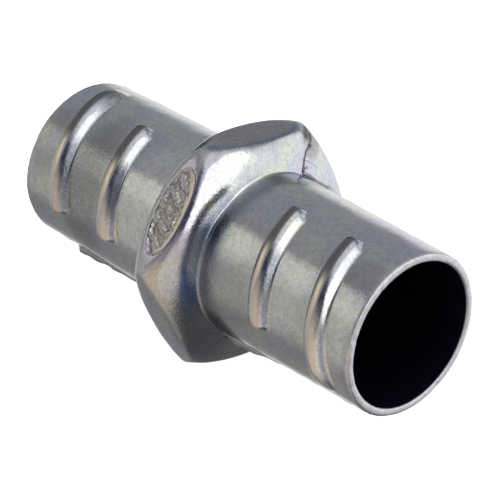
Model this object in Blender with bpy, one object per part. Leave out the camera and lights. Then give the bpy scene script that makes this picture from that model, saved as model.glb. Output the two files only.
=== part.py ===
"""Screw-in coupling for flexible metal conduit: one zinc die casting.

Two slightly drafted sleeves leave a hexagonal wrench collar in opposite directions. Each sleeve carries
rounded rib segments laid along one right-hand helix, which screw into the conduit's corrugations, and one
wire bore runs straight through. The bore's axis is X, and the collar's middle plane is x = 0.
Angles around the bore are measured in degrees from +Z towards -Y.
"""
import math

import bmesh
import bpy

MM = 0.001

# Driving dimensions, in metres
LENGTH = 56.0 * MM
SLEEVE_ROOT_DIAMETER = 20.3 * MM
SLEEVE_END_DIAMETER = 19.6 * MM
BORE_MOUTH_DIAMETER = 17.6 * MM
BORE_MIDDLE_DIAMETER = 17.0 * MM
ACROSS_FLATS = 27.8 * MM
ACROSS_CORNERS = 31.2 * MM
COLLAR_WIDTH = 6.4 * MM
COLLAR_FLARE = 0.65 * MM      # how far each side of the collar leans out at its foot
COLLAR_FLARE_TOP = 0.7        # where the flare begins, as a share of the collar's height
COLLAR_FOOT_ANGLE = 77.0      # how steeply the side of the collar meets its fillet, in degrees
COLLAR_FILLET = 0.4 * MM
END_ROUNDING = 0.3 * MM
MOUTH_CHAMFER = 0.15 * MM
THREAD_PITCH = 9.0 * MM
RIB_WIDTH = 3.1 * MM
RIB_HEIGHT = 1.25 * MM

# The die parts through the collar corners at 150 and 330 degrees; each half's ribs are centred between them
FRONT_MIDDLE = 60.0
BACK_MIDDLE = 240.0
FIRST_RIB = 13.2 * MM         # distance from the collar's middle to the first rib, measured at FRONT_MIDDLE
RIB_HALF_SWEEP = 46.0
LONG_RIB_HALF_SWEEP = 72.0    # the outermost front rib runs on this far on one side
RIB_RUNOUT = 16.0             # the angle in which a rib rises from the sleeve to its full height
LONG_RUNOUT = 28.0            # the same at the far end of a long rib
RIB_SINK = 0.4 * MM           # how far a rib's body reaches into the sleeve's wall

# How finely round shapes are divided
TURN_STEPS = 60
DOME_STEPS = 10
FILLET_STEPS = 3
RIB_STEP_ANGLE = 5.0
RIB_ARC_STEPS = 7


def clear_scene():
    for obj in list(bpy.data.objects):
        bpy.data.objects.remove(obj, do_unlink=True)


def zinc_material():
    material = bpy.data.materials.new("zinc_die_casting")
    material.use_nodes = True
    shader = material.node_tree.nodes["Principled BSDF"]
    shader.inputs["Base Color"].default_value = (0.55, 0.55, 0.56, 1.0)
    shader.inputs["Metallic"].default_value = 1.0
    shader.inputs["Roughness"].default_value = 0.32
    return material


def around(x, radius, degrees):
    """The point at a distance along the bore, a radius and an angle about it."""
    angle = math.radians(degrees)
    return (x, -radius * math.sin(angle), radius * math.cos(angle))


def sleeve_radius(x):
    """The outer radius of a sleeve, which draws in towards its end for the die to open."""
    share = abs(x) / (LENGTH / 2)
    return (SLEEVE_ROOT_DIAMETER + (SLEEVE_END_DIAMETER - SLEEVE_ROOT_DIAMETER) * share) / 2


def make_object(name, bm):
    mesh = bpy.data.meshes.new(name)
    bmesh.ops.recalc_face_normals(bm, faces=bm.faces)
    bm.to_mesh(mesh)
    bm.free()
    obj = bpy.data.objects.new(name, mesh)
    bpy.context.scene.collection.objects.link(obj)
    return obj


def collar_half_width(height):
    """Half of the collar's width, from height 0 on the sleeve to 1 at its crest: a dome on a flared foot."""
    dome = COLLAR_WIDTH / 2 * (1 - height ** 3) ** (2 / 3)
    return dome + COLLAR_FLARE * max(1 - height / COLLAR_FLARE_TOP, 0) ** 1.3


def collar_outline():
    """Half of the collar's turned outline, from its crest at x = 0 down through the fillet to the sleeve."""
    crest = ACROSS_CORNERS / 2
    root = SLEEVE_ROOT_DIAMETER / 2
    foot_angle = math.radians(COLLAR_FOOT_ANGLE)
    lowest = COLLAR_FILLET * (1 - math.cos(foot_angle)) / (crest - root)
    points = []
    for step in range(DOME_STEPS + 1):
        height = 1 - (1 - lowest) * (step / DOME_STEPS) ** 1.5
        points.append((collar_half_width(height), root + (crest - root) * height))
    middle = points[-1][0] + COLLAR_FILLET * math.sin(foot_angle)
    for step in range(1, FILLET_STEPS + 1):
        angle = foot_angle * (1 - step / FILLET_STEPS)
        x = middle - COLLAR_FILLET * math.sin(angle)
        points.append((x, sleeve_radius(x) + COLLAR_FILLET * (1 - math.cos(angle))))
    return points


def half_section():
    """The wall's section on the +X side, from the collar's crest out to the rim and back along the bore."""
    end = LENGTH / 2
    rim = SLEEVE_END_DIAMETER / 2
    mouth = BORE_MOUTH_DIAMETER / 2
    points = collar_outline()
    points.append((end - END_ROUNDING, rim))
    points.append((end - END_ROUNDING * 0.3, rim - END_ROUNDING * 0.3))
    points.append((end, rim - END_ROUNDING))
    points.append((end, mouth + MOUTH_CHAMFER))
    points.append((end - MOUTH_CHAMFER, mouth))
    return points


def turned_body():
    """The two sleeves, the domed collar blank and the bore, turned as one closed section about X."""
    right = half_section()
    left = [(-x, radius) for x, radius in reversed(right[1:])]
    section = right + [(0.0, BORE_MIDDLE_DIAMETER / 2)] + left
    bm = bmesh.new()
    rings = []
    for step in range(TURN_STEPS):
        degrees = 360 * step / TURN_STEPS
        rings.append([bm.verts.new(around(x, radius, degrees)) for x, radius in section])
    for step, ring in enumerate(rings):
        after = rings[(step + 1) % TURN_STEPS]
        for place in range(len(section)):
            following = (place + 1) % len(section)
            bm.faces.new((ring[place], ring[following], after[following], after[place]))
    return make_object("coupling_body", bm)


def hexagon_prism():
    """A prism over the collar whose six sides are the wrench flats; its first flat faces +Z."""
    corner = ACROSS_FLATS / 2 / math.cos(math.radians(30))
    bm = bmesh.new()
    ends = []
    for x in (-LENGTH, LENGTH):
        ends.append([bm.verts.new(around(x, corner, 30 + 60 * side)) for side in range(6)])
    for side in range(6):
        after = (side + 1) % 6
        bm.faces.new((ends[0][side], ends[0][after], ends[1][after], ends[1][side]))
    for loop in ends:
        bm.faces.new(loop)
    return make_object("wrench_flats_cutter", bm)


def rib_ring(x_middle, degrees, fullness):
    """One cross-section of a rib: a low arch over the sleeve, with its foot inside the wall."""
    x = x_middle + THREAD_PITCH * (degrees - FRONT_MIDDLE) / 360
    half_width = RIB_WIDTH / 2 * math.sqrt(fullness)
    base = sleeve_radius(x)
    points = [around(x - half_width, base - RIB_SINK, degrees)]
    for step in range(RIB_ARC_STEPS + 1):
        angle = math.pi * step / RIB_ARC_STEPS
        height = RIB_HEIGHT * fullness * math.sin(angle) - 0.05 * MM
        points.append(around(x - half_width * math.cos(angle), base + height, degrees))
    points.append(around(x + half_width, base - RIB_SINK, degrees))
    return points


def runout(sweep):
    """The angle in which a rib rises, at an end that lies this far from its middle."""
    return LONG_RUNOUT if sweep > RIB_HALF_SWEEP else RIB_RUNOUT


def rib(name, x_middle, middle, before, after):
    """One thread rib along the helix, rising and sinking again at its ends."""
    bm = bmesh.new()
    steps = round((before + after) / RIB_STEP_ANGLE)
    rings = []
    for step in range(steps + 1):
        from_start = (before + after) * step / steps
        to_end = before + after - from_start
        into_rib = min(from_start / runout(before), to_end / runout(after), 1)
        fullness = 0.1 + 0.9 * math.sin(math.pi / 2 * into_rib)
        points = rib_ring(x_middle, middle - before + from_start, fullness)
        rings.append([bm.verts.new(point) for point in points])
    for ring, following_ring in zip(rings, rings[1:]):
        for place in range(len(ring)):
            following = (place + 1) % len(ring)
            bm.faces.new((ring[place], ring[following], following_ring[following], following_ring[place]))
    bm.faces.new(rings[0])
    bm.faces.new(rings[-1])
    return make_object(name, bm)


def thread_ribs():
    """The helix: two ribs a pitch apart on each sleeve's front, and two half a pitch on at its back."""
    ribs = []
    for side, label in ((1, "right"), (-1, "left")):
        inner = side * FIRST_RIB
        outer = side * (FIRST_RIB + THREAD_PITCH)
        before = RIB_HALF_SWEEP if side > 0 else LONG_RIB_HALF_SWEEP
        after = LONG_RIB_HALF_SWEEP if side > 0 else RIB_HALF_SWEEP
        first_back = inner if side < 0 else inner - THREAD_PITCH
        next_back = first_back + side * THREAD_PITCH
        ribs.append(rib(label + "_front_inner_rib", inner, FRONT_MIDDLE, RIB_HALF_SWEEP, RIB_HALF_SWEEP))
        ribs.append(rib(label + "_front_outer_rib", outer, FRONT_MIDDLE, before, after))
        ribs.append(rib(label + "_back_inner_rib", first_back, BACK_MIDDLE, RIB_HALF_SWEEP, RIB_HALF_SWEEP))
        ribs.append(rib(label + "_back_outer_rib", next_back, BACK_MIDDLE, RIB_HALF_SWEEP, RIB_HALF_SWEEP))
    return ribs


def apply_boolean(body, tool, operation):
    tool.hide_render = True
    tool.display_type = "WIRE"
    modifier = body.modifiers.new(tool.name, "BOOLEAN")
    modifier.operation = operation
    modifier.object = tool


def build():
    clear_scene()
    body = turned_body()
    apply_boolean(body, hexagon_prism(), "INTERSECT")
    for piece in thread_ribs():
        apply_boolean(body, piece, "UNION")
    body.data.shade_smooth()
    body.data.set_sharp_from_angle(angle=math.radians(30))
    body.data.materials.append(zinc_material())


build()
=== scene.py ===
"""The looks of a die-cast zinc conduit coupling: one continuous skin, its metal, and a small studio.

Lengths are in millimetres until the mesh is written, and angles around the bore are in degrees from +Z
towards -Y, as on the CAD part. The skin is one closed grid: its rows run round the part, and its columns
run along it from the collar's crest to the right rim, through the bore, and back from the left rim.
"""
import math

import bpy
import numpy as np
from mathutils import Matrix, Vector


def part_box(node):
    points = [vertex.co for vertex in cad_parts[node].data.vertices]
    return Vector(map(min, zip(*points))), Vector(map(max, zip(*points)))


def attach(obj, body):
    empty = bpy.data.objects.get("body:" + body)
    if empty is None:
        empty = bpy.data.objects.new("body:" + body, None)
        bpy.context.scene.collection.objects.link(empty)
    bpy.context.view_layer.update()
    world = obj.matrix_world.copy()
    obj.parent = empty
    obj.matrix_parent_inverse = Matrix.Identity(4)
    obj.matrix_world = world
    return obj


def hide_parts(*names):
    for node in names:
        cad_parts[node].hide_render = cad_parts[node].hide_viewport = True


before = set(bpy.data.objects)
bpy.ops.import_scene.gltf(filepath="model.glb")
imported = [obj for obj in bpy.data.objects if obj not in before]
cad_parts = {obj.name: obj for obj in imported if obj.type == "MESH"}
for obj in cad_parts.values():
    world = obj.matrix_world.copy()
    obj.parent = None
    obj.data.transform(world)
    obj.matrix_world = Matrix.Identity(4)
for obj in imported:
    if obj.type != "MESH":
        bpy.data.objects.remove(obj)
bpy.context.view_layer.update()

MM = 0.001

# Driving dimensions, as the CAD part has them
LOW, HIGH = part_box("coupling_body")
HALF_LENGTH = HIGH.x / MM
FLAT_RADIUS = HIGH.z / MM              # half of the size across flats
CREST_RADIUS = HIGH.y / MM             # half of the size across the rounded corners
ROOT_RADIUS = 10.15                    # the sleeve's, in the collar's middle plane
END_RADIUS = 9.8
MOUTH_RADIUS = 8.8                     # the bore's
MIDDLE_RADIUS = 8.5
COLLAR_HALF_WIDTH = 3.2
COLLAR_FLARE = 0.65                    # how much wider each side of the collar is at its foot
COLLAR_FLARE_TOP = 0.7                 # where the flare begins, as a share of the collar's height
COLLAR_FOOT_ANGLE = 77.0               # the tilt of the side's normal towards the rim, at its foot
COLLAR_FILLET = 0.4
END_ROUNDING = 0.3
MOUTH_CHAMFER = 0.15
THREAD_PITCH = 9.0
RIB_WIDTH = 3.1
RIB_HEIGHT = 1.25
FIRST_RIB = 13.2                       # from the collar's middle to the first rib, at the rib's middle
FRONT_MIDDLE = 60.0                    # the marked flat, and the middle of the front ribs
BACK_MIDDLE = 240.0
RIB_HALF_SWEEP = 46.0
LONG_RIB_HALF_SWEEP = 72.0             # the outermost front ribs run on this far on one side
LONG_RUNOUT = 28.0                     # the angle in which the far end of a long rib sinks
FRONT_SEAM = 150.0                     # the die parts along these two lines, through two collar corners
BACK_SEAM = 330.0

# The ribs' section and ends, which are finer here than on the CAD part
RIB_BACK_RADIUS = 1.3
RIB_FLANK_ANGLE = 56.0
RIB_FOOT_FILLET = 0.12
RIB_END_LENGTH = 0.55 * RIB_WIDTH      # how long the domed end of a rib is
RIB_RUNOUT = 8.0                       # the angle in which a rib sinks before its domed end
RIB_OVERRUN = 6.0                      # the angle beyond its end where a rib would have sunk to nothing

# The recess on the marked flat
PAD_MIDDLE_X = 0.4
PAD_MIDDLE = FRONT_MIDDLE - 0.5
PAD_HALF_WIDTH = 2.1
PAD_HALF_ANGLE = 21.5
PAD_WALL = 1.3                         # the width of the sloping wall on its right
PAD_DEPTH = 0.42
BAR_HEIGHT = 0.32

# The grid: 322 rows of 310 columns make just under 200,000 triangles
COLUMNS = 310
SLEEVE_ROWS = 101
BORE_ROWS = 9
CHAMFER_ROWS = 2

# Every random draw comes from this one generator, so the order of the calls that draw matters
rng = np.random.default_rng(7)


def smoothstep(low, high, value):
    """0 at low and 1 at high, with a smooth slope between; low may be the larger of the two."""
    share = np.clip((value - low) / (high - low), 0, 1)
    return share * share * (3 - 2 * share)


def band(value, start, full, waning, end):
    """0 up to start, 1 from full to waning, and 0 again from end on, with smooth slopes between."""
    return smoothstep(start, full, value) * smoothstep(end, waning, value)


def bell(distance, width):
    return np.exp(-(distance / width) ** 2)


def spot(u, v, middle_u, middle_v, half_u, half_v):
    """A soft oval spot in two coordinates of the skin, 1 in its middle."""
    return bell(np.hypot((u - middle_u) / half_u, (v - middle_v) / half_v), 1)


def wrap(degrees):
    """The same angle, from -180 up to 180."""
    return (degrees + 180) % 360 - 180


def turned_from(degrees, middle):
    """How far an angle is from another, either way round."""
    return np.abs(wrap(degrees - middle))


def arc_length(radius, degrees):
    """The signed length that an angle spans at a radius."""
    return np.radians(wrap(degrees)) * radius


def smooth_lower(a, b, blend):
    """The lower of two heights, with the corner between them rounded."""
    share = np.clip(0.5 + 0.5 * (b - a) / blend, 0, 1)
    return b * (1 - share) + a * share - blend * share * (1 - share)


def smooth_upper(a, b, blend):
    return -smooth_lower(-a, -b, blend)


# ---------------------------------------------------------------- the turned section

def sleeve_radius(x):
    return ROOT_RADIUS + (END_RADIUS - ROOT_RADIUS) * np.abs(x) / HALF_LENGTH


def dome_x(height):
    """The collar's half width at a height from 0 on the sleeve to 1 at its crest: a dome on a flared foot."""
    dome = COLLAR_HALF_WIDTH * np.maximum(1 - height ** 3, 0) ** (2 / 3)
    return dome + COLLAR_FLARE * np.maximum(1 - height / COLLAR_FLARE_TOP, 0) ** 1.3


def dome_height(x):
    heights = np.linspace(0, 1, 400)
    return np.interp(x, dome_x(heights)[::-1], heights[::-1])


def dome_section():
    """Points from the crest to the fillet: even steps across the flats, then even steps down the side."""
    flat_edge = 2.5
    flat_steps = 22
    side_steps = 13
    rise = CREST_RADIUS - ROOT_RADIUS
    lowest = COLLAR_FILLET * (1 - math.cos(math.radians(COLLAR_FOOT_ANGLE))) / rise
    heights = [float(dome_height(flat_edge * step / flat_steps)) for step in range(flat_steps + 1)]
    last = heights[-1]
    heights += [last + (lowest - last) * (step + 1) / side_steps for step in range(side_steps)]
    return [(float(dome_x(height)), ROOT_RADIUS + rise * height) for height in heights]


def fillet_section(face):
    """The fillet from the side at x = face to the sleeve, as its normal turns out to the radius."""
    points = []
    steps = 6
    middle = face + COLLAR_FILLET * math.sin(math.radians(COLLAR_FOOT_ANGLE))
    for step in range(1, steps + 1):
        tilt = math.radians(COLLAR_FOOT_ANGLE * (1 - step / steps))
        x = middle - COLLAR_FILLET * math.sin(tilt)
        points.append((x, float(sleeve_radius(x)) + COLLAR_FILLET * (1 - math.cos(tilt))))
    return points


def spread(first, last, count, density):
    """Places from first to last, the first left out, set closer together where the density is higher."""
    fine = np.linspace(first, last, 4001)
    reached = np.concatenate([[0], np.cumsum((density(fine[1:]) + density(fine[:-1])) / 2)])
    return np.interp(np.arange(1, count + 1) / count * reached[-1], reached, fine)


def rib_density(x):
    """Rows are closer together across the front ribs, and a little closer across the back ones."""
    half_width = 1.8
    front_extra = 3.0
    back_extra = 1.5
    density = np.ones_like(x)
    for turn in range(2):
        front = FIRST_RIB + turn * THREAD_PITCH
        density += front_extra * (np.abs(x - front) < half_width)
        density += back_extra * (np.abs(x - front + THREAD_PITCH / 2) < half_width)
    return density


def arc(centre, radius, start, end, steps):
    """Points on an arc in the section, angles from +x towards +r, leaving out the first."""
    angles = np.radians(np.linspace(start, end, steps + 1)[1:])
    return [(centre[0] + radius * math.cos(a), centre[1] + radius * math.sin(a)) for a in angles]


def rim_section():
    inner = MOUTH_RADIUS + MOUTH_CHAMFER
    outer = END_RADIUS - END_ROUNDING
    points = arc((HALF_LENGTH - END_ROUNDING, outer), END_ROUNDING, 90, 0, 5)
    points += [(HALF_LENGTH, (outer + inner) / 2), (HALF_LENGTH, inner)]
    return points + arc((HALF_LENGTH - MOUTH_CHAMFER, inner), MOUTH_CHAMFER, 0, -90, CHAMFER_ROWS)


def bore_section():
    points = []
    for step in range(1, BORE_ROWS + 1):
        share = step / (BORE_ROWS + 1)
        x = (HALF_LENGTH - MOUTH_CHAMFER) * (1 - share ** 0.8)
        points.append((x, MOUTH_RADIUS + (MIDDLE_RADIUS - MOUTH_RADIUS) * share))
    return points


def half_section():
    """The +X half of the wall's section, from the collar's crest to the rim and back to the bore's middle."""
    points = dome_section()
    points += fillet_section(points[-1][0])
    places = spread(points[-1][0], HALF_LENGTH - END_ROUNDING, SLEEVE_ROWS, rib_density)
    points += [(float(x), float(sleeve_radius(x))) for x in places]
    return points + rim_section() + bore_section()


def whole_section():
    right = half_section()
    left = [(-x, radius) for x, radius in reversed(right[1:])]
    return np.array(right + [(0.0, MIDDLE_RADIUS)] + left)


def column_density(degrees):
    """Columns are closer together over the marked flat and along the two parting lines."""
    flat_extra = 1.6
    seam_extra = 3.0
    density = 1 + flat_extra * smoothstep(27, 22, turned_from(degrees, FRONT_MIDDLE))
    for seam in (FRONT_SEAM, BACK_SEAM):
        density += seam_extra * smoothstep(5, 2, turned_from(degrees, seam))
    return density


# ---------------------------------------------------------------- ribs and flats

def helix_shift(degrees):
    """How far the rows follow the helix: with it across the front and the back, and back in between."""
    front_reach = 76
    back_reach = 50
    slope = THREAD_PITCH / 360
    anchors = [-180, back_reach - 180, -front_reach, front_reach, 180 - back_reach, 180]
    shifts = [0, back_reach * slope, -front_reach * slope, front_reach * slope, -back_reach * slope, 0]
    return np.interp(wrap(degrees - FRONT_MIDDLE), anchors, shifts)


def follow_helix(x, degrees):
    """Slides the sleeves' rows along the helix, and leaves the collar and the rims where they are."""
    fillet_end = 4.1
    inner_rib_start = 7.0
    outer_rib_end = 24.0
    anchors = [fillet_end, inner_rib_start, outer_rib_end, HALF_LENGTH - END_ROUNDING]
    share = np.interp(np.abs(x), anchors, [0, 1, 1, 0])
    return x + helix_shift(degrees) * share


def flat_radius(degrees):
    """The radius at which the nearest flat's plane is reached."""
    from_flat = np.radians((degrees + 30) % 60 - 30)
    return FLAT_RADIUS / np.cos(from_flat)


def cut_flats(radius, degrees):
    """Cuts the collar's dome down to the flats, with crisper edges at the top and softer ones below."""
    crisper_top = smoothstep(40, 15, turned_from(degrees, 0))
    softer_low = smoothstep(40, 15, turned_from(degrees, 120))
    blend = 0.9 - 0.4 * crisper_top + 0.6 * softer_low
    return smooth_lower(radius, flat_radius(degrees), blend)


def ribs():
    """Each rib as (x at its middle angle, middle angle, its reach before that angle, its reach after it)."""
    found = []
    for side in (1, -1):
        low = LONG_RIB_HALF_SWEEP if side < 0 else RIB_HALF_SWEEP
        high = LONG_RIB_HALF_SWEEP if side > 0 else RIB_HALF_SWEEP
        outer = FIRST_RIB + THREAD_PITCH
        half_pitch = THREAD_PITCH / 2
        found.append((side * FIRST_RIB, FRONT_MIDDLE, RIB_HALF_SWEEP, RIB_HALF_SWEEP))
        found.append((side * outer, FRONT_MIDDLE, low, high))
        found.append((side * (FIRST_RIB - half_pitch), BACK_MIDDLE, RIB_HALF_SWEEP, RIB_HALF_SWEEP))
        found.append((side * (outer - half_pitch), BACK_MIDDLE, RIB_HALF_SWEEP, RIB_HALF_SWEEP))
    return found


def across_rib(x, middle_x, turned):
    """The distance along the bore from a rib's middle line, at an angle turned from the rib's middle."""
    return x - middle_x - THREAD_PITCH * turned / 360


def rib_profile(distance):
    """A rib's height at a distance from its middle line: a round back between straight flanks."""
    flank = math.radians(RIB_FLANK_ANGLE)
    flank_start = RIB_BACK_RADIUS * math.sin(flank)
    round_back = np.sqrt(np.maximum(RIB_BACK_RADIUS ** 2 - distance ** 2, 0)) - RIB_BACK_RADIUS
    straight = -RIB_BACK_RADIUS * (1 - math.cos(flank)) - (distance - flank_start) * math.tan(flank)
    height = RIB_HEIGHT + np.where(distance < flank_start, round_back, straight)
    return smooth_upper(height, 0.0, RIB_FOOT_FILLET)


def rib_height(x, degrees):
    """The height of the ribs over the sleeve, with a domed end on each."""
    height = np.zeros(x.shape)
    for middle_x, middle, before, after in ribs():
        turned = wrap(degrees - middle)
        across = across_rib(x, middle_x, turned)
        reach = np.where(turned > 0, after, before)
        beyond = np.radians(np.abs(turned) - reach) * ROOT_RADIUS + RIB_END_LENGTH
        distance = np.hypot(across, np.maximum(beyond, 0) * RIB_WIDTH / 2 / RIB_END_LENGTH)
        runout = np.where(reach > RIB_HALF_SWEEP, LONG_RUNOUT, RIB_RUNOUT)
        sunk = smoothstep(reach + RIB_OVERRUN, reach - runout, np.abs(turned))
        height = np.maximum(height, rib_profile(distance) * sunk)
    return height


# ---------------------------------------------------------------- casting marks

def waves(points, wavelength, count=32):
    """A smooth random field of about unit size, from waves that run in every direction."""
    headings = rng.normal(size=(count, 3))
    headings /= np.linalg.norm(headings, axis=1, keepdims=True)
    phases = rng.uniform(0, 2 * math.pi, count)
    travelled = points @ headings.T * (2 * math.pi / wavelength)
    return np.sin(travelled + phases).sum(axis=-1) * math.sqrt(2 / count)


def parting_lift(points, x, radius, degrees):
    """The trimmed ridge along both parting lines, and the slight step between the two die halves."""
    past_front = arc_length(radius, degrees - FRONT_SEAM)
    past_back = arc_length(radius, degrees - BACK_SEAM)
    uneven = np.clip(0.7 + 0.3 * waves(points, 2.2), 0.2, 1.4)
    front_ridge = 0.08 * bell(past_front, 0.16)
    back_ridge = 0.03 * bell(past_back, 0.3)
    die_step = 0.03 * smoothstep(-0.1, 0.1, past_front) * smoothstep(-0.1, 0.1, -past_back)
    on_collar = smoothstep(4.6, 3.8, np.abs(x))
    return (front_ridge + back_ridge) * uneven * (1 - 0.8 * on_collar) + die_step


def flash_lift(points, x, radius, degrees):
    """Flash left along the lower parting line: a long fin on the left sleeve, a short one on the right."""
    left_height = 0.55
    right_height = 0.62
    across = arc_length(radius, degrees - FRONT_SEAM)
    ragged = np.clip(1 + 0.13 * waves(points, 2.6), 0.6, 1.3)
    left = left_height * smoothstep(-22.9, -22.4, x) * smoothstep(-3.0, -23.0, x)
    right = right_height * band(x, 3.6, 4.2, 6.0, 14.4)
    return (left + right) * bell(across - 0.1, 0.5) * ragged


def crack_angle(radius):
    """Where the upper corner's flash crack runs on the right side of the collar."""
    return 329.6 + 2.3 * np.sin(math.pi * (radius - 10.2) / 3.8) + 0.3 * np.sin(7 * radius)


def crack_marks(x, radius, degrees):
    """The crack at the upper corner, the pocket and lap line at its foot, the painted shade in all three, and
    the proud surface beyond it.
    """
    groove_depth = 0.2
    pocket_depth = 0.28
    lap_depth = 0.16
    proud_height = 0.09
    past = arc_length(radius, degrees - crack_angle(radius))
    on_side = band(x, 2.2, 2.6, 4.0, 4.5)
    down_side = band(radius, 10.3, 10.5, 13.5, 13.9)
    groove = bell(past, 0.07) * down_side * on_side
    pocket = spot(arc_length(radius, degrees - 329.3), radius, 0, 10.75, 0.28, 0.35) * on_side
    lap_radius = 10.28 + 0.033 * past ** 2
    lap = bell(radius - lap_radius, 0.13) * band(past, -8.5, -6.0, -0.3, 0.1) * band(x, 2.6, 3.0, 4.6, 5.0)
    proud = band(past, -5.5, -2.5, -0.1, 0.02) * down_side * on_side
    lift = proud_height * proud - groove_depth * groove - pocket_depth * pocket - lap_depth * lap
    dark = np.clip(groove + pocket + 0.9 * lap, 0, 1)
    return lift, dark, proud


def corner_pits(x, radius, degrees):
    """The bead, two small pits and a dark patch where the crack meets the rounded upper corner, with painted
    shade in the pits and the patch painted darker.
    """
    bead_height = 0.28
    pit_depth = 0.22
    along = arc_length(radius, degrees - BACK_SEAM)
    bead = spot(x, along, 2.4, 0.3, 0.45, 0.45)
    pits = spot(x, along, 2.0, -0.35, 0.36, 0.2) + spot(x, along, 2.65, -0.15, 0.16, 0.16)
    dark_patch = spot(x, along, 1.5, 0.2, 1.1, 0.6)
    dark = np.clip(1.4 * pits + 0.65 * dark_patch, 0, 1)
    return bead_height * bead - pit_depth * pits, dark


def crease_angle(radius):
    """Where a cold shut creases the collar's right side at the lower corner."""
    return 149.5 + 1.8 * np.sin(1.5 * (radius - 10.0)) + 0.3 * np.sin(6 * radius)


def crease_marks(x, radius, degrees):
    """The crease at the lower corner: its lift, and the painted shade that shows it far more than its slight
    depth does.
    """
    crease_depth = 0.02
    darkness = 0.9
    past = arc_length(radius, degrees - crease_angle(radius))
    groove = bell(past, 0.09) * band(radius, 10.1, 10.4, 11.6, 12.6) * band(x, 2.6, 3.0, 4.2, 5.0)
    return -crease_depth * groove, darkness * groove


def pad_shape(x, degrees):
    """The recess on the marked flat, 1 on its floor and 0 outside, with a broad sloping wall on its right."""
    along = (degrees - PAD_MIDDLE) / PAD_HALF_ANGLE
    half_width = PAD_HALF_WIDTH * np.sqrt(np.clip(1 - np.abs(along) ** 2.6, 0, 1))
    left_wall = smoothstep(0.0, 0.25, x - PAD_MIDDLE_X + half_width)
    right_wall = np.clip((half_width - (x - PAD_MIDDLE_X)) / PAD_WALL, 0, 1)
    ends = smoothstep(1.02, 0.92, np.abs(along))
    return left_wall * right_wall * ends


def pad_bars(x, degrees):
    """The distance from the nearest of the plain slanted bars that stand in for the real casting's mark."""
    spacing = 1.9
    row_height = 1.75
    first_row = -0.1
    half_bar = 0.62
    slant = 0.7
    along = arc_length(FLAT_RADIUS + 0.3, degrees - FRONT_MIDDLE)
    row = np.round((x - first_row) / row_height)
    down = x - first_row - row * row_height
    shifted = along - spacing / 2 * (row % 2)
    step = shifted - np.round(shifted / spacing) * spacing
    on_line = np.clip(down * math.cos(slant) + step * math.sin(slant), -half_bar, half_bar)
    return np.hypot(down - on_line * math.cos(slant), step - on_line * math.sin(slant))


def pad_marks(points, x, radius, degrees):
    """The recess's lift, its inside, the painted shade along the feet of its bars and walls, and its sloping
    wall.
    """
    on_flat = (turned_from(degrees, FRONT_MIDDLE) < 29) & (np.abs(x) < 2.9) & (radius > ROOT_RADIUS)
    inside = pad_shape(x, degrees) * on_flat
    distance = pad_bars(x, degrees) + 0.05 * waves(points, 1.6)
    bars = smoothstep(0.55, 0.2, distance) * smoothstep(0.5, 0.9, inside)
    crust = 0.05 * waves(points, 0.9, 48) + 0.03 * waves(points, 0.45, 48)
    lift = -PAD_DEPTH * inside + (BAR_HEIGHT * bars + crust) * smoothstep(0.4, 0.9, inside)
    # Painted shade at the feet of the bars, and a painted shade line along the top of the right wall
    foot = bell(distance - 0.58, 0.08) * smoothstep(0.8, 1.0, inside)
    on_right = x > PAD_MIDDLE_X
    outline = band(inside, 0.0, 0.06, 0.10, 0.22) * on_right
    # The sloping right wall, which gets a painted tan reflection
    wall = band(inside, 0.1, 0.3, 0.75, 0.95) * on_right
    return lift, inside, np.clip(0.5 * foot + 0.9 * outline, 0, 1), wall


def rim_nicks(x, radius, degrees):
    """A few small dents where the rims have knocked against something."""
    nicks_per_rim = 7
    lift = np.zeros(x.shape)
    for side in (1, -1):
        for angle in rng.uniform(0, 360, nicks_per_rim):
            distance = np.hypot(x - side * HALF_LENGTH, arc_length(radius, degrees - angle))
            depth = rng.uniform(0.02, 0.05)
            width = rng.uniform(0.25, 0.5)
            lift -= depth * bell(distance, width)
    return lift


def surface_normals(points):
    """Outward unit normals of the grid, from the differences between neighbouring points."""
    along = np.roll(points, -1, axis=0) - np.roll(points, 1, axis=0)
    round_it = np.roll(points, -1, axis=1) - np.roll(points, 1, axis=1)
    normals = np.cross(round_it, along)
    return normals / np.linalg.norm(normals, axis=-1, keepdims=True)


def around(x, radius, degrees):
    angle = np.radians(degrees)
    return np.stack([x, -radius * np.sin(angle), radius * np.cos(angle)], axis=-1)


def follow_cracks(x, radius, degrees):
    """Slides the columns beside the crack and the crease, so that each runs along a column."""
    crack = (crack_angle, BACK_SEAM, band(x, 2.0, 2.6, 4.6, 6.0))
    crease = (crease_angle, FRONT_SEAM, band(x, 2.4, 3.0, 4.6, 6.0))
    for path, seam, on_side in (crack, crease):
        beside = smoothstep(8, 3, turned_from(degrees, seam))
        degrees = degrees + (path(radius) - seam) * beside * on_side
    return degrees


def base_grid():
    """The smooth skin before its casting marks: x, radius, angle, where it is bore, and the ribs' height."""
    section = whole_section()
    angles = spread(0, 360, COLUMNS, column_density)
    x = np.repeat(section[:, :1], COLUMNS, axis=1)
    radius = np.repeat(section[:, 1:], COLUMNS, axis=1)
    degrees = np.repeat(angles[None, :], len(section), axis=0)
    row = np.arange(len(section))
    rows_from_crest = np.minimum(row, len(section) - row)
    bore = (rows_from_crest >= len(section) // 2 - BORE_ROWS - CHAMFER_ROWS)[:, None]
    slid = np.where(bore, x, follow_helix(x, degrees))
    degrees = np.where(bore, degrees, follow_cracks(x, radius, degrees))
    radius = radius + np.where(bore, 0, sleeve_radius(slid) - sleeve_radius(x))
    radius = np.where(bore, radius, cut_flats(radius, degrees))
    bead = np.where(bore, 0, rib_height(slid, degrees))
    return slid, radius + bead, degrees, bore, bead


# ---------------------------------------------------------------- stains and tints

# Soft patches, partly the metal's blotchy finish and partly painted light and shade: painted sheen where
# brighter, painted shade where darker, as under the sleeve and by the collar's foot
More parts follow.
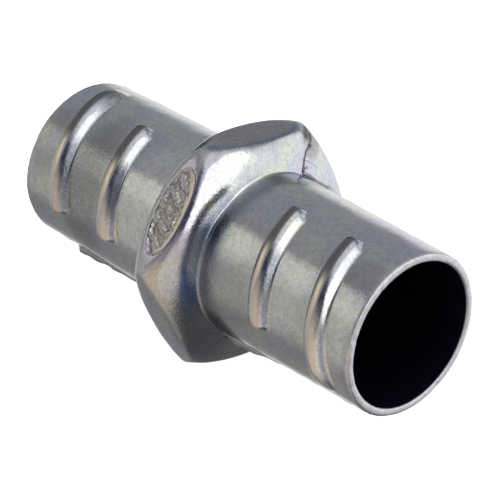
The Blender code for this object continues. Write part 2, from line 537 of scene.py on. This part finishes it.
STAINS = [
    # what it is, lighter (above 0) or darker (below 0), x, angle, half length along x, half width in degrees
    ("bright by the collar", 0.9, 7.0, 58, 3.5, 13),
    ("bright between the right ribs", 0.8, 17.0, 66, 2.6, 30),
    ("bright under the right end", 0.9, 25.5, 105, 2.5, 55),
    ("bright left of the collar", 0.9, -8.0, 62, 3.6, 42),
    ("dull top flat", -1.1, 0.0, 0, 2.6, 24),
    ("dull between the left ribs", -0.9, -17.8, 80, 3.2, 60),
    ("dull left end", -0.5, -25.5, 55, 2.4, 26),
    ("dull under the near sleeve", -0.5, 8.0, 95, 4.5, 22),
    ("dark by the collar's foot", -1.0, 5.5, 128, 3.0, 14),
    ("dull right end", -0.5, 25.5, 38, 2.6, 14),
    ("stained upper corner", -1.2, 2.0, -33, 1.2, 6),
    ("rough lower dome", -0.8, 3.2, 128, 1.5, 30),
    ("dull edge behind the rim", -0.7, 27.4, 110, 0.5, 40),
]


def stain_marks(x, degrees):
    """Where the skin is painted brighter and where duller, as soft patches: partly the metal's blotchy
    finish, partly painted light and shade.
    """
    level = np.zeros(x.shape)
    for _, strength, place, angle, length, width in STAINS:
        away = np.hypot((x - place) / length, wrap(degrees - angle) / width)
        level += strength * smoothstep(1.35, 0.65, away)
    return np.clip(level, 0, 1), np.clip(-level, 0, 1)


def rib_tints(x, degrees, bead):
    """The front ribs' painted reflections: tan on the back, dark at the left foot and upper ends, navy on the
    right.

    Each rib's dark flank is painted to its own share, from the leftmost rib to the rightmost, and each upper
    tip gets a painted highlight.
    """
    tan_reflection = np.zeros(x.shape)
    dull = np.zeros(x.shape)
    navy_reflection = np.zeros(x.shape)
    upper = smoothstep(56, 44, degrees)
    lower = smoothstep(66, 86, degrees)
    back_edge = 0.42 + 0.5 * lower
    outer = FIRST_RIB + THREAD_PITCH
    for middle_x, stained in ((-outer, 0.6), (-FIRST_RIB, 1.0), (FIRST_RIB, 0.55), (outer, 0.0)):
        across = across_rib(x, middle_x, wrap(degrees - FRONT_MIDDLE))
        left_foot = band(-across, 0.5, 0.8, 1.8, 2.1)
        back = band(across, -0.8, -0.5, back_edge, back_edge + 0.12)
        flank = band(across, 0.75, 0.9, 1.5, 1.65) * (1 - upper)
        right_foot = band(across, 1.0, 1.15, 1.45, 1.6) * lower
        # A painted highlight on the rib's upper tip, laid into the navy
        tip = 0.6 * smoothstep(0.2, 0.6, across) * smoothstep(28, 16, wrap(degrees))
        # The dark flank: painted dark reflection and painted navy reflection
        dark_flank = stained * flank * (1 - lower)
        tan_reflection = np.maximum(tan_reflection, back * (1 - upper) * (1 - 0.65 * lower))
        dull = np.maximum.reduce([dull, left_foot, back * upper, 0.9 * dark_flank])
        navy_reflection = np.maximum.reduce([navy_reflection, dark_flank, 0.9 * right_foot, tip])
    on_rib = smoothstep(0.04, 0.2, bead) * (degrees < 180)
    return tan_reflection * on_rib, dull * on_rib, navy_reflection * on_rib


def navy_foot_reflection(x, radius, degrees):
    """1 where a navy reflection is painted on the collar's right foot at the front, and a little less on the
    sleeve beside it.
    """
    foot = smoothstep(12.9, 12.1, radius) * band(x, 2.4, 2.8, 4.1, 4.3) * band(degrees, 42, 60, 100, 125)
    beside = 0.85 * band(x, 4.1, 4.4, 4.8, 7.5) * band(wrap(degrees), -55, -30, 125, 150)
    return np.maximum(foot, beside)


def flat_edges(x, degrees):
    """1 along the rounded edges between the collar's flats and its dome."""
    dome_radius = ROOT_RADIUS + (CREST_RADIUS - ROOT_RADIUS) * dome_height(np.abs(x))
    return bell(dome_radius - flat_radius(degrees), 0.35) * (np.abs(x) < COLLAR_HALF_WIDTH)


def build_skin():
    """The finished skin as a grid of points in metres, and its marks, each from 0 to 1 at every point."""
    x, radius, degrees, bore, bead = base_grid()
    place = (x, radius, degrees)
    points = around(*place)
    normals = surface_normals(points)
    crack, crack_dark, proud = crack_marks(*place)
    crease, crease_dark = crease_marks(*place)
    pits, pit_dark = corner_pits(*place)
    pad, pad_inside, pad_shade, pad_wall = pad_marks(points, *place)
    flash = flash_lift(points, *place)
    uneven = 0.014 * waves(points, 6.0) + 0.005 * waves(points, 2.0)
    off_pad = 1 - pad_inside
    lift = uneven + parting_lift(points, *place) * off_pad + flash + crack + crease + pits + pad
    lift = np.where(bore, 0.4 * uneven, lift) + rim_nicks(*place)
    points = points + normals * lift[..., None]

    # Patches of painted sheen and painted shade, partly the metal's blotchy finish
    polish_and_sheen, tarnish_and_shade = stain_marks(x, degrees)
    # Painted reflections on the front ribs: tan, dark and navy
    tan_reflection, dull, navy_reflection = rib_tints(x, degrees, bead)
    on_flash = smoothstep(0.1, 0.3, flash)
    edges = flat_edges(x, degrees)
    # A painted navy shade line along the top flat's edges on the +X half
    top_edge = edges * (turned_from(degrees, 0) < 27) * (x > 0)
    # Painted shade for the crack, crease, pits and recess, with half of the ribs' painted dark reflection
    painted_shade = crack_dark + crease_dark + pit_dark + pad_shade + 0.5 * dull
    worn_ribs = smoothstep(0.8, 1.0, bead / RIB_HEIGHT) - tan_reflection - dull
    marks = {
        "bore": bore * smoothstep(MOUTH_RADIUS + 0.10, MOUTH_RADIUS, radius),
        "recess": np.clip(painted_shade, 0, 1),
        "wear": np.clip(worn_ribs + 0.6 * edges - top_edge, 0, 1) * off_pad,
        "pad": pad_inside,
        "rim": smoothstep(HALF_LENGTH - 0.4, HALF_LENGTH - 0.2, np.abs(x)) * ~bore,
        "polish_and_sheen": polish_and_sheen * ~bore,
        "tarnish_and_shade": np.clip(tarnish_and_shade + dull + 0.8 * on_flash, 0, 1) * ~bore,
        "tan_reflection": np.clip(tan_reflection + pad_wall, 0, 1),
        "navy_reflection": np.clip(0.9 * top_edge + navy_foot_reflection(*place) + navy_reflection, 0, 1) * ~bore,
        "scuff": np.clip(proud + on_flash, 0, 1),
    }
    return points * MM, marks


def grid_mesh(name, points, marks):
    """A mesh from a grid of points that closes on itself both ways, with the marks as attributes."""
    rows, columns = points.shape[:2]
    row = np.arange(rows)[:, None]
    column = np.arange(columns)[None, :]
    after_row = (row + 1) % rows
    after_column = (column + 1) % columns
    corners = [row * columns + column, row * columns + after_column]
    corners += [after_row * columns + after_column, after_row * columns + column]
    faces = np.stack(corners, axis=-1).reshape(-1, 4)
    mesh = bpy.data.meshes.new(name)
    mesh.vertices.add(rows * columns)
    mesh.vertices.foreach_set("co", points.astype(np.float32).ravel())
    mesh.loops.add(faces.size)
    mesh.loops.foreach_set("vertex_index", faces.astype(np.int32).ravel())
    mesh.polygons.add(len(faces))
    mesh.polygons.foreach_set("loop_start", np.arange(0, faces.size, 4, dtype=np.int32))
    mesh.update(calc_edges=True)
    for mark, values in marks.items():
        attribute = mesh.attributes.new(mark, "FLOAT", "POINT")
        attribute.data.foreach_set("value", values.astype(np.float32).ravel())
    mesh.validate()
    mesh.shade_smooth()
    return mesh


# ---------------------------------------------------------------- the metal

class NodeTree:
    """Short calls for building a material's nodes."""

    def __init__(self, name):
        self.material = bpy.data.materials.new(name)
        self.material.use_nodes = True
        self.tree = self.material.node_tree
        self.shader = self.tree.nodes["Principled BSDF"]
        self.place = self.tree.nodes.new("ShaderNodeTexCoord").outputs["Object"]

    def set(self, socket, value):
        """Links a socket to another node's, or gives it a plain value; None leaves it as it is."""
        if isinstance(value, bpy.types.NodeSocket):
            self.tree.links.new(value, socket)
        elif value is not None:
            socket.default_value = value

    def mark(self, name):
        node = self.tree.nodes.new("ShaderNodeAttribute")
        node.attribute_name = name
        return node.outputs["Fac"]

    def noise(self, size_mm, detail=2.0, stretch=(1, 1, 1)):
        """Noise about size_mm across from one light patch to the next, stretched along the axes."""
        mapping = self.tree.nodes.new("ShaderNodeMapping")
        mapping.inputs["Scale"].default_value = [1 / (size_mm * MM * s) for s in stretch]
        self.tree.links.new(self.place, mapping.inputs["Vector"])
        node = self.tree.nodes.new("ShaderNodeTexNoise")
        node.inputs["Scale"].default_value = 1.0
        node.inputs["Detail"].default_value = detail
        self.tree.links.new(mapping.outputs["Vector"], node.inputs["Vector"])
        return node.outputs["Fac"]

    def rings(self, size_mm):
        """Noise that changes only with the distance from the bore's axis."""
        flat = self.tree.nodes.new("ShaderNodeVectorMath")
        flat.operation = "MULTIPLY"
        flat.inputs[1].default_value = (0.0, 1.0, 1.0)
        self.tree.links.new(self.place, flat.inputs[0])
        distance = self.tree.nodes.new("ShaderNodeVectorMath")
        distance.operation = "LENGTH"
        self.tree.links.new(flat.outputs["Vector"], distance.inputs[0])
        node = self.tree.nodes.new("ShaderNodeTexNoise")
        node.noise_dimensions = "1D"
        node.inputs["Scale"].default_value = 1 / (size_mm * MM)
        self.tree.links.new(distance.outputs["Value"], node.inputs["W"])
        return node.outputs["Fac"]

    def ramp(self, value, low, high, to_low=0.0, to_high=1.0):
        """A number led smoothly from to_low, where the value is low, to to_high, where it is high."""
        node = self.tree.nodes.new("ShaderNodeMapRange")
        node.interpolation_type = "SMOOTHSTEP"
        self.set(node.inputs["Value"], value)
        for name, number in (("From Min", low), ("From Max", high), ("To Min", to_low), ("To Max", to_high)):
            node.inputs[name].default_value = number
        return node.outputs["Result"]

    def math(self, operation, a, b):
        node = self.tree.nodes.new("ShaderNodeMath")
        node.operation = operation
        self.set(node.inputs[0], a)
        self.set(node.inputs[1], b)
        return node.outputs["Value"]

    def times(self, a, b):
        return self.math("MULTIPLY", a, b)

    def mix(self, share, a, b):
        """A mix of two colours, or of two numbers."""
        colour = isinstance(b, tuple)
        node = self.tree.nodes.new("ShaderNodeMix")
        node.data_type = "RGBA" if colour else "FLOAT"
        factor, first, second = [s for s in node.inputs if s.enabled][:3]
        self.set(factor, share)
        self.set(first, (*a, 1.0) if isinstance(a, tuple) else a)
        self.set(second, (*b, 1.0) if colour else b)
        return next(s for s in node.outputs if s.enabled)

    def cover(self, value, layers):
        """A colour or number under a stack of layers, each given as (its share, what it brings)."""
        for share, layer in layers:
            value = self.mix(share, value, layer)
        return value

    def bump(self, height, depth_mm, before=None):
        node = self.tree.nodes.new("ShaderNodeBump")
        node.inputs["Distance"].default_value = depth_mm * MM
        self.set(node.inputs["Height"], height)
        self.set(node.inputs["Normal"], before)
        return node.outputs["Normal"]


# The metal's colours: two for the clean skin, then what lies over it, painted light and shade among them
COOL_ZINC = (0.575, 0.59, 0.64)
OLIVE_ZINC = (0.64, 0.655, 0.58)
VIOLET_ZINC = (0.605, 0.565, 0.67)
# Painted sheen on the brighter patches
POLISH_AND_SHEEN = (0.80, 0.81, 0.77)
# Painted shade on the darker patches and the ribs, and the tarnish on the flash
TARNISH_AND_SHADE = (0.30, 0.30, 0.30)
# A painted navy reflection, on the ribs, the collar's foot and the top flat's edge
PAINTED_NAVY = (0.20, 0.25, 0.37)
BARE_RIM = (0.66, 0.66, 0.67)
MOTTLED = (0.40, 0.40, 0.41)
SPECKLED = (0.34, 0.34, 0.35)
DARK_GRAIN = (0.30, 0.30, 0.31)
LIGHT_GRAIN = (0.90, 0.90, 0.92)
# A painted tan reflection, on the ribs' backs and the recess's sloping wall
PAINTED_TAN = (0.86, 0.74, 0.62)
WORN = (0.74, 0.74, 0.76)
RECESS_FLOOR = (0.66, 0.60, 0.54)
# Painted shade for the crack, crease, pits and the recess's bars
PAINTED_SHADE = (0.085, 0.075, 0.07)
# The bore is painted near-black navy all through, far darker than the metal outside, whatever light reaches
# it
DARK_BORE = (0.016, 0.013, 0.036)


def zinc_colour(zinc, mark, fine, medium):
    """Clouds of faint tints under stains partly of painted light and shade, painted navy reflections,
    mottling and grain, with painted tan reflections, wear, painted shade and the dark bore on top.
    """
    cloud = zinc.noise(4.0, 3.0)
    other_cloud = zinc.noise(5.5, 2.0, stretch=(1.0, 0.8, 1.3))
    specks = zinc.noise(0.6, 2.0)
    clean = zinc.mix(zinc.ramp(cloud, 0.42, 0.62), COOL_ZINC, OLIVE_ZINC)
    return zinc.cover(clean, [
        (zinc.ramp(other_cloud, 0.52, 0.68), VIOLET_ZINC),
        (zinc.times(mark["polish_and_sheen"], 0.85), POLISH_AND_SHEEN),
        (zinc.times(mark["tarnish_and_shade"], 0.85), TARNISH_AND_SHADE),
        (zinc.times(mark["navy_reflection"], 0.85), PAINTED_NAVY),
        (mark["rim"], BARE_RIM),
        (zinc.ramp(medium, 0.50, 0.75, 0.0, 0.25), MOTTLED),
        (zinc.ramp(specks, 0.42, 0.72, 0.0, 0.28), SPECKLED),
        (zinc.ramp(fine, 0.50, 0.70, 0.0, 0.28), DARK_GRAIN),
        (zinc.ramp(fine, 0.46, 0.32, 0.0, 0.3), LIGHT_GRAIN),
        (zinc.times(mark["tan_reflection"], 0.9), PAINTED_TAN),
        (zinc.times(mark["wear"], 0.4), WORN),
        (zinc.times(mark["pad"], 0.6), RECESS_FLOOR),
        (mark["recess"], PAINTED_SHADE),
        (mark["bore"], DARK_BORE),
    ])


def zinc_roughness(zinc, mark, fine):
    """Satin all over, smoother where worn and rougher on the grain, the rims and the recesses."""
    satin = zinc.ramp(zinc.noise(2.2, 3.0), 0.35, 0.65, 0.12, 0.18)
    return zinc.cover(satin, [
        (zinc.times(mark["wear"], 0.6), 0.10),
        (zinc.ramp(fine, 0.5, 0.7, 0.0, 0.6), 0.34),
        (mark["rim"], 0.42),
        (mark["pad"], 0.24),
        (mark["recess"], 0.6),
        (mark["bore"], 0.55),
    ])


def zinc_normal(zinc, mark, fine, medium):
    """The relief too fine for the mesh, each kind with its depth in millimetres."""
    reliefs = [
        (zinc.math("ADD", fine, zinc.times(medium, 0.8)), 0.010),      # grain
        (zinc.noise(0.25, 2.0, stretch=(30, 1, 1)), 0.003),            # draw lines
        (zinc.times(fine, mark["tarnish_and_shade"]), 0.02),                     # rough tarnish
        (zinc.times(zinc.rings(0.35), mark["scuff"]), 0.12),           # scuffs
        (zinc.times(zinc.noise(0.3, 4.0), mark["pad"]), 0.12),         # the recess's crust
    ]
    normal = None
    for height, depth in reliefs:
        normal = zinc.bump(height, depth, normal)
    return normal


def zinc_material(mark_names):
    """As-cast zinc: satin grey with faint tints, fine grain, polished crests and rough recesses darkened with
    painted shade.
    """
    zinc = NodeTree("cast_zinc")
    mark = {name: zinc.mark(name) for name in mark_names}
    fine = zinc.noise(0.25, 3.0)
    medium = zinc.noise(1.1, 3.0)
    zinc.set(zinc.shader.inputs["Base Color"], zinc_colour(zinc, mark, fine, medium))
    zinc.set(zinc.shader.inputs["Roughness"], zinc_roughness(zinc, mark, fine))
    zinc.set(zinc.shader.inputs["Normal"], zinc_normal(zinc, mark, fine, medium))
    zinc.shader.inputs["Metallic"].default_value = 1.0
    return zinc.material


def add_casting():
    points, marks = build_skin()
    casting = bpy.data.objects.new("zinc_casting", grid_mesh("zinc_casting", points, marks))
    bpy.context.scene.collection.objects.link(casting)
    casting.data.materials.append(zinc_material(list(marks)))
    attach(casting, "root")
    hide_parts("coupling_body")


# ---------------------------------------------------------------- the studio

def add_floor():
    """A plain floor that glows white, just below the skin's lowest point and unseen in the metal."""
    size = 3.0
    gap = 0.0001
    corners = [(-size, -size, 0), (size, -size, 0), (size, size, 0), (-size, size, 0)]
    mesh = bpy.data.meshes.new("studio_floor")
    mesh.from_pydata(corners, [], [(0, 1, 2, 3)])
    floor = bpy.data.objects.new("studio_floor", mesh)
    bpy.context.scene.collection.objects.link(floor)
    floor.location.z = LOW.z - gap
    material = bpy.data.materials.new("pale_floor")
    material.use_nodes = True
    shader = material.node_tree.nodes["Principled BSDF"]
    shader.inputs["Base Color"].default_value = (0.4, 0.4, 0.4, 1.0)
    shader.inputs["Roughness"].default_value = 0.9
    shader.inputs["Emission Color"].default_value = (1.0, 1.0, 1.0, 1.0)
    shader.inputs["Emission Strength"].default_value = 1.0
    mesh.materials.append(material)
    floor.visible_glossy = False


def add_camera(azimuth, elevation, roll, distance, lens, aim_right, aim_up):
    """A camera that looks along a direction given as in the views, its aim shifted in its own plane."""
    az, el, turn = (math.radians(a) for a in (azimuth, elevation, roll))
    back = Vector((math.sin(az) * math.cos(el), -math.cos(az) * math.cos(el), math.sin(el)))
    level = Vector((math.cos(az), math.sin(az), 0.0))
    upright = back.cross(level)
    right = level * math.cos(turn) + upright * math.sin(turn)
    up = upright * math.cos(turn) - level * math.sin(turn)
    camera = bpy.data.objects.new("camera", bpy.data.cameras.new("camera"))
    bpy.context.scene.collection.objects.link(camera)
    place = back * distance + right * aim_right + up * aim_up
    camera.matrix_world = Matrix.Translation(place) @ Matrix((right, up, back)).transposed().to_4x4()
    camera.data.lens = lens
    camera.data.sensor_width = 36
    bpy.context.scene.camera = camera


def direction(azimuth, elevation):
    """A unit vector, azimuth from +X towards +Y."""
    az, el = math.radians(azimuth), math.radians(elevation)
    return (math.cos(az) * math.cos(el), math.sin(az) * math.cos(el), math.sin(el))


# The studio around the part, from its back wall to its lamps: each patch of light or shade has its
# azimuth and elevation, the angles where it is full and where it has faded out, and its colour.
ROOM_COLOUR = (0.31, 0.31, 0.315)
PATCHES = [
    ("cool upper back", 140, 42, 20, 66, (0.34, 0.35, 0.39)),
    ("high ceiling", -40, 80, 15, 45, (0.46, 0.46, 0.47)),
    ("top softbox", 3, 52, 16, 42, (0.90, 0.90, 0.93)),
    ("dark table back", 175, -54, 12, 32, (0.28, 0.28, 0.28)),
    ("table left", -84, -36, 20, 48, (0.66, 0.55, 0.47)),
    ("warm table front", -22, -30, 16, 36, (0.76, 0.70, 0.64)),
    ("dark table right", 50, -54, 30, 48, (0.13, 0.13, 0.14)),
    ("right wall", 105, -10, 16, 34, (1.10, 1.10, 1.12)),
    ("right wall near", 58, -2, 26, 40, (1.15, 1.17, 1.20)),
    ("back lamp", 128, -18, 10, 36, (0.94, 0.94, 0.96)),
    ("main softbox", 5, 19, 22, 31, (1.85, 1.85, 1.87)),
    ("shade under softbox", 14, -22, 8, 15, (0.13, 0.15, 0.23)),
    ("dark corner", -66, 38, 5, 20, (0.09, 0.09, 0.11)),
    ("dark camera side", -74, 29, 8, 18, (0.05, 0.05, 0.10)),
    ("dark by camera", -46, 25, 7, 18, (0.04, 0.04, 0.08)),
    ("dark by softbox", -29, 13, 3, 11, (0.05, 0.05, 0.10)),
    ("left window", -132, 18, 16, 24, (0.68, 0.69, 0.64)),
    ("left window sill", -133, -14, 14, 34, (0.48, 0.48, 0.46)),
    ("warm back", 176, -12, 12, 26, (0.60, 0.57, 0.52)),
    ("dark back gap", 153, 10, 7, 16, (0.07, 0.07, 0.05)),
]


def add_world():
    """The studio's patches, each laid over the ones before it, as the light that the metal reflects."""
    world = bpy.data.worlds.new("studio")
    bpy.context.scene.world = world
    world.use_nodes = True
    tree = world.node_tree
    nodes, links = tree.nodes, tree.links
    where = nodes.new("ShaderNodeTexCoord").outputs["Generated"]
    colour = None
    for name, azimuth, elevation, inner, outer, patch in PATCHES:
        towards = nodes.new("ShaderNodeVectorMath")
        towards.operation = "DOT_PRODUCT"
        towards.inputs[1].default_value = direction(azimuth, elevation)
        links.new(where, towards.inputs[0])
        fade = nodes.new("ShaderNodeMapRange")
        fade.interpolation_type = "SMOOTHSTEP"
        fade.inputs["From Min"].default_value = math.cos(math.radians(outer))
        fade.inputs["From Max"].default_value = math.cos(math.radians(inner))
        links.new(towards.outputs["Value"], fade.inputs["Value"])
        mix = nodes.new("ShaderNodeMix")
        mix.data_type = "RGBA"
        mix.label = name
        mix.inputs["A"].default_value = (*ROOM_COLOUR, 1.0)
        mix.inputs["B"].default_value = (*patch, 1.0)
        if colour is not None:
            links.new(colour, mix.inputs["A"])
        links.new(fade.outputs["Result"], mix.inputs["Factor"])
        colour = mix.outputs["Result"]
    links.new(colour, nodes["Background"].inputs["Color"])


def add_overhead():
    """A wide overhead light for the floor, left out of the metal's reflections."""
    light = bpy.data.lights.new("overhead", "AREA")
    light.shape = "DISK"
    light.size = 0.6
    light.energy = 9.0
    lamp = bpy.data.objects.new("overhead", light)
    bpy.context.scene.collection.objects.link(lamp)
    lamp.location = (0.05, 0.1, 0.8)
    lamp.visible_glossy = False


add_casting()
add_floor()
add_world()
add_overhead()
add_camera(
    azimuth=45.3,
    elevation=25.7,
    roll=5.3,
    distance=0.332,
    lens=204.8,
    aim_right=0.00103,
    aim_up=-0.00096,
)
bpy.context.scene.view_settings.view_transform = "Standard"
